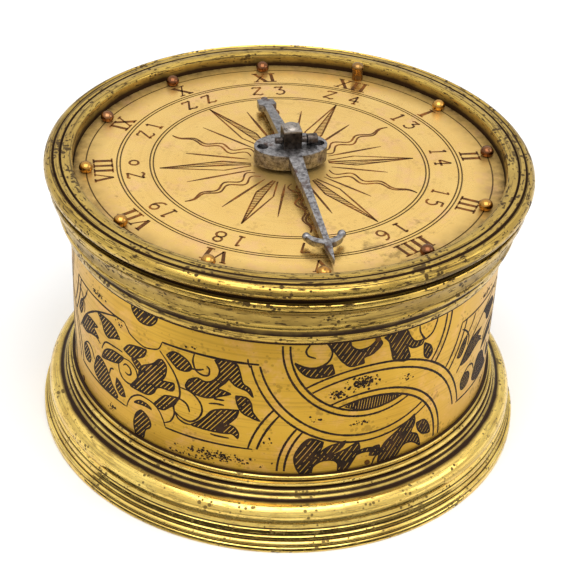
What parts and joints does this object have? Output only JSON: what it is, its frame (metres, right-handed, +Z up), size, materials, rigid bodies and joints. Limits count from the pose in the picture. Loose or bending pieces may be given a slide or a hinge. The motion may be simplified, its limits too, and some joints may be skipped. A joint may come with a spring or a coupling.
{
  "type": "verge clock",
  "caption": "Drum-shaped gilt-brass table clock with a horizontal dial, touch pins, one hour hand and a fusee movement with a verge escapement.",
  "frame": {"origin": "middle of the underside of the foot", "axes": "+Z up, +Y towards the XII of the dial, +X towards the III"},
  "size_m": [0.073, 0.073, 0.048],
  "materials": {
    "gilt_case": "worn gilding with black filled engraving",
    "gilt_dial": "worn satin gilding with engraved lines",
    "pin_brass": "rubbed, some coppery",
    "case_brass": "aged",
    "dark_steel": "old filed steel with pits",
    "movement_brass": "satin",
    "movement_steel": "polished",
    "gut": "dry gut",
    "bristle": "hog's bristle"
  },
  "bodies": {
    "root": {"case_band": "gilt_case", "top_rim": "gilt_case", "base_ring": "gilt_case", "case_pins": "case_brass", "cover_hinge_pin": "movement_steel", "dial_plate": "gilt_dial", "touch_pins": "pin_brass", "twelve_pin": "pin_brass", "dial_feet": "movement_brass", "dial_foot_pins": "movement_steel", "top_plate": "movement_brass", "bottom_plate": "movement_brass", "pillars": "movement_brass", "plate_pins": "movement_steel", "latch_posts": "movement_steel", "barrel_click_spring": "movement_steel", "barrel_click_screw": "movement_steel", "gut_line": "gut", "stop_stud": "movement_steel", "crown_potence": "movement_brass", "crown_follower": "movement_brass", "verge_potence": "movement_brass", "balance_cock": "movement_brass", "cock_screw": "movement_steel", "regulator_bush": "movement_brass"},
    "cover": {"base_cover": "gilt_case"},
    "hour": {"hour_wheel": "movement_brass"},
    "hand": {"hour_hand": "dark_steel", "hand_pin": "dark_steel", "hand_arbor": "dark_steel", "hand_spring": "movement_steel"},
    "great": {"great_wheel": "movement_brass", "motion_pinion": "movement_steel", "great_click_pin": "movement_steel", "great_click_spring": "movement_steel"},
    "great_click": {"great_click": "movement_steel"},
    "fusee": {"fusee": "movement_brass", "fusee_arbor": "movement_steel", "fusee_ratchet": "movement_steel"},
    "barrel": {"barrel": "movement_brass", "barrel_cap": "movement_brass", "mainspring": "movement_steel"},
    "setup": {"barrel_arbor": "movement_steel", "barrel_ratchet": "movement_steel"},
    "barrel_click": {"barrel_click": "movement_steel"},
    "second": {"second_wheel": "movement_brass", "second_arbor": "movement_steel"},
    "contrate": {"contrate_wheel": "movement_brass", "contrate_arbor": "movement_steel"},
    "crown": {"crown_wheel": "movement_brass", "crown_arbor": "movement_steel"},
    "verge": {"verge": "movement_steel", "balance": "movement_brass"},
    "regulator": {"regulator": "movement_steel", "regulator_bristles": "bristle"},
    "latch_front": {"latches_front": "movement_steel"},
    "latch_back": {"latches_back": "movement_steel"},
    "stop_lever": {"stop_lever": "movement_steel"}
  },
  "joints": [
    {"name": "base_cover_hinge", "type": "hinge", "parent": "root", "child": "cover", "pos_m": [0, 0.0296, 0.00095], "axis": [1, 0, 0], "range_deg": [0, 110]},
    {"name": "contrate_turn", "type": "hinge", "parent": "root", "child": "contrate", "pos_m": [-0.00106, -0.00912, 0.025], "axis": [0, 0, 1], "continuous": true},
    {"name": "second_turn", "type": "hinge", "parent": "root", "child": "second", "pos_m": [-0.0101, -0.01071, 0.025], "axis": [0, 0, 1], "continuous": true},
    {"name": "great_turn", "type": "hinge", "parent": "root", "child": "great", "pos_m": [-0.014, 0, 0.033], "axis": [0, 0, 1], "continuous": true},
    {"name": "hour_turn", "type": "hinge", "parent": "root", "child": "hour", "pos_m": [0, 0, 0.0384], "axis": [0, 0, 1], "continuous": true},
    {"name": "crown_turn", "type": "hinge", "parent": "root", "child": "crown", "pos_m": [-0.00106, -0.00912, 0.018], "axis": [0.9511, -0.309, 0], "continuous": true},
    {"name": "hand_set", "type": "hinge", "parent": "hour", "child": "hand", "pos_m": [0, 0, 0.04], "axis": [0, 0, 1], "continuous": true},
    {"name": "fusee_wind", "type": "hinge", "parent": "root", "child": "fusee", "pos_m": [-0.014, 0, 0.025], "axis": [0, 0, -1], "range_deg": [0, 2520], "deforming": ["gut_line"]},
    {"name": "barrel_turn", "type": "hinge", "parent": "root", "child": "barrel", "pos_m": [0.0085, 0.0105, 0.025], "axis": [0, 0, -1], "range_deg": [0, 1860], "deforming": ["mainspring"]},
    {"name": "setup_turn", "type": "hinge", "parent": "root", "child": "setup", "pos_m": [0.0085, 0.0105, 0.025], "axis": [0, 0, -1], "range_deg": [0, 720]},
    {"name": "barrel_click_lift", "type": "hinge", "parent": "root", "child": "barrel_click", "pos_m": [0.01309, 0.0145, 0.0114], "axis": [0, 0, -1], "range_deg": [0, 15], "deforming": ["barrel_click_spring"]},
    {"name": "great_click_lift", "type": "hinge", "parent": "great", "child": "great_click", "pos_m": [-0.01432, 0.00625, 0.0322], "axis": [0, 0, 1], "range_deg": [0, 15], "deforming": ["great_click_spring"]},
    {"name": "balance_swing", "type": "hinge", "parent": "root", "child": "verge", "pos_m": [0.01126, -0.01312, 0.018], "axis": [0, 0, 1], "range_deg": [-30, 30]},
    {"name": "regulator_turn", "type": "hinge", "parent": "root", "child": "regulator", "pos_m": [0.01126, -0.01312, 0.0112], "axis": [0, 0, 1], "range_deg": [-8, 8]},
    {"name": "stop_lift", "type": "hinge", "parent": "root", "child": "stop_lever", "pos_m": [0.00196, 0.00127, 0.0153], "axis": [-0.4229, 0.9062, 0], "range_deg": [0, 6]},
    {"name": "latch_front_turn", "type": "hinge", "parent": "root", "child": "latch_front", "pos_m": [-0.00769, -0.02368, 0.0103], "axis": [0, 0, 1], "range_deg": [0, 90]},
    {"name": "latch_back_turn", "type": "hinge", "parent": "root", "child": "latch_back", "pos_m": [-0.00087, 0.02488, 0.0103], "axis": [0, 0, 1], "range_deg": [0, 90]}
  ],
  "couplings": [
    {"joint": "second_turn", "follows": "contrate_turn", "ratio": -0.125},
    {"joint": "great_turn", "follows": "contrate_turn", "ratio": 0.013889},
    {"joint": "hour_turn", "follows": "contrate_turn", "ratio": -0.0023148},
    {"joint": "crown_turn", "follows": "contrate_turn", "ratio": -6},
    {"joint": "barrel_turn", "follows": "fusee_wind", "ratio": 0.736}
  ]
}
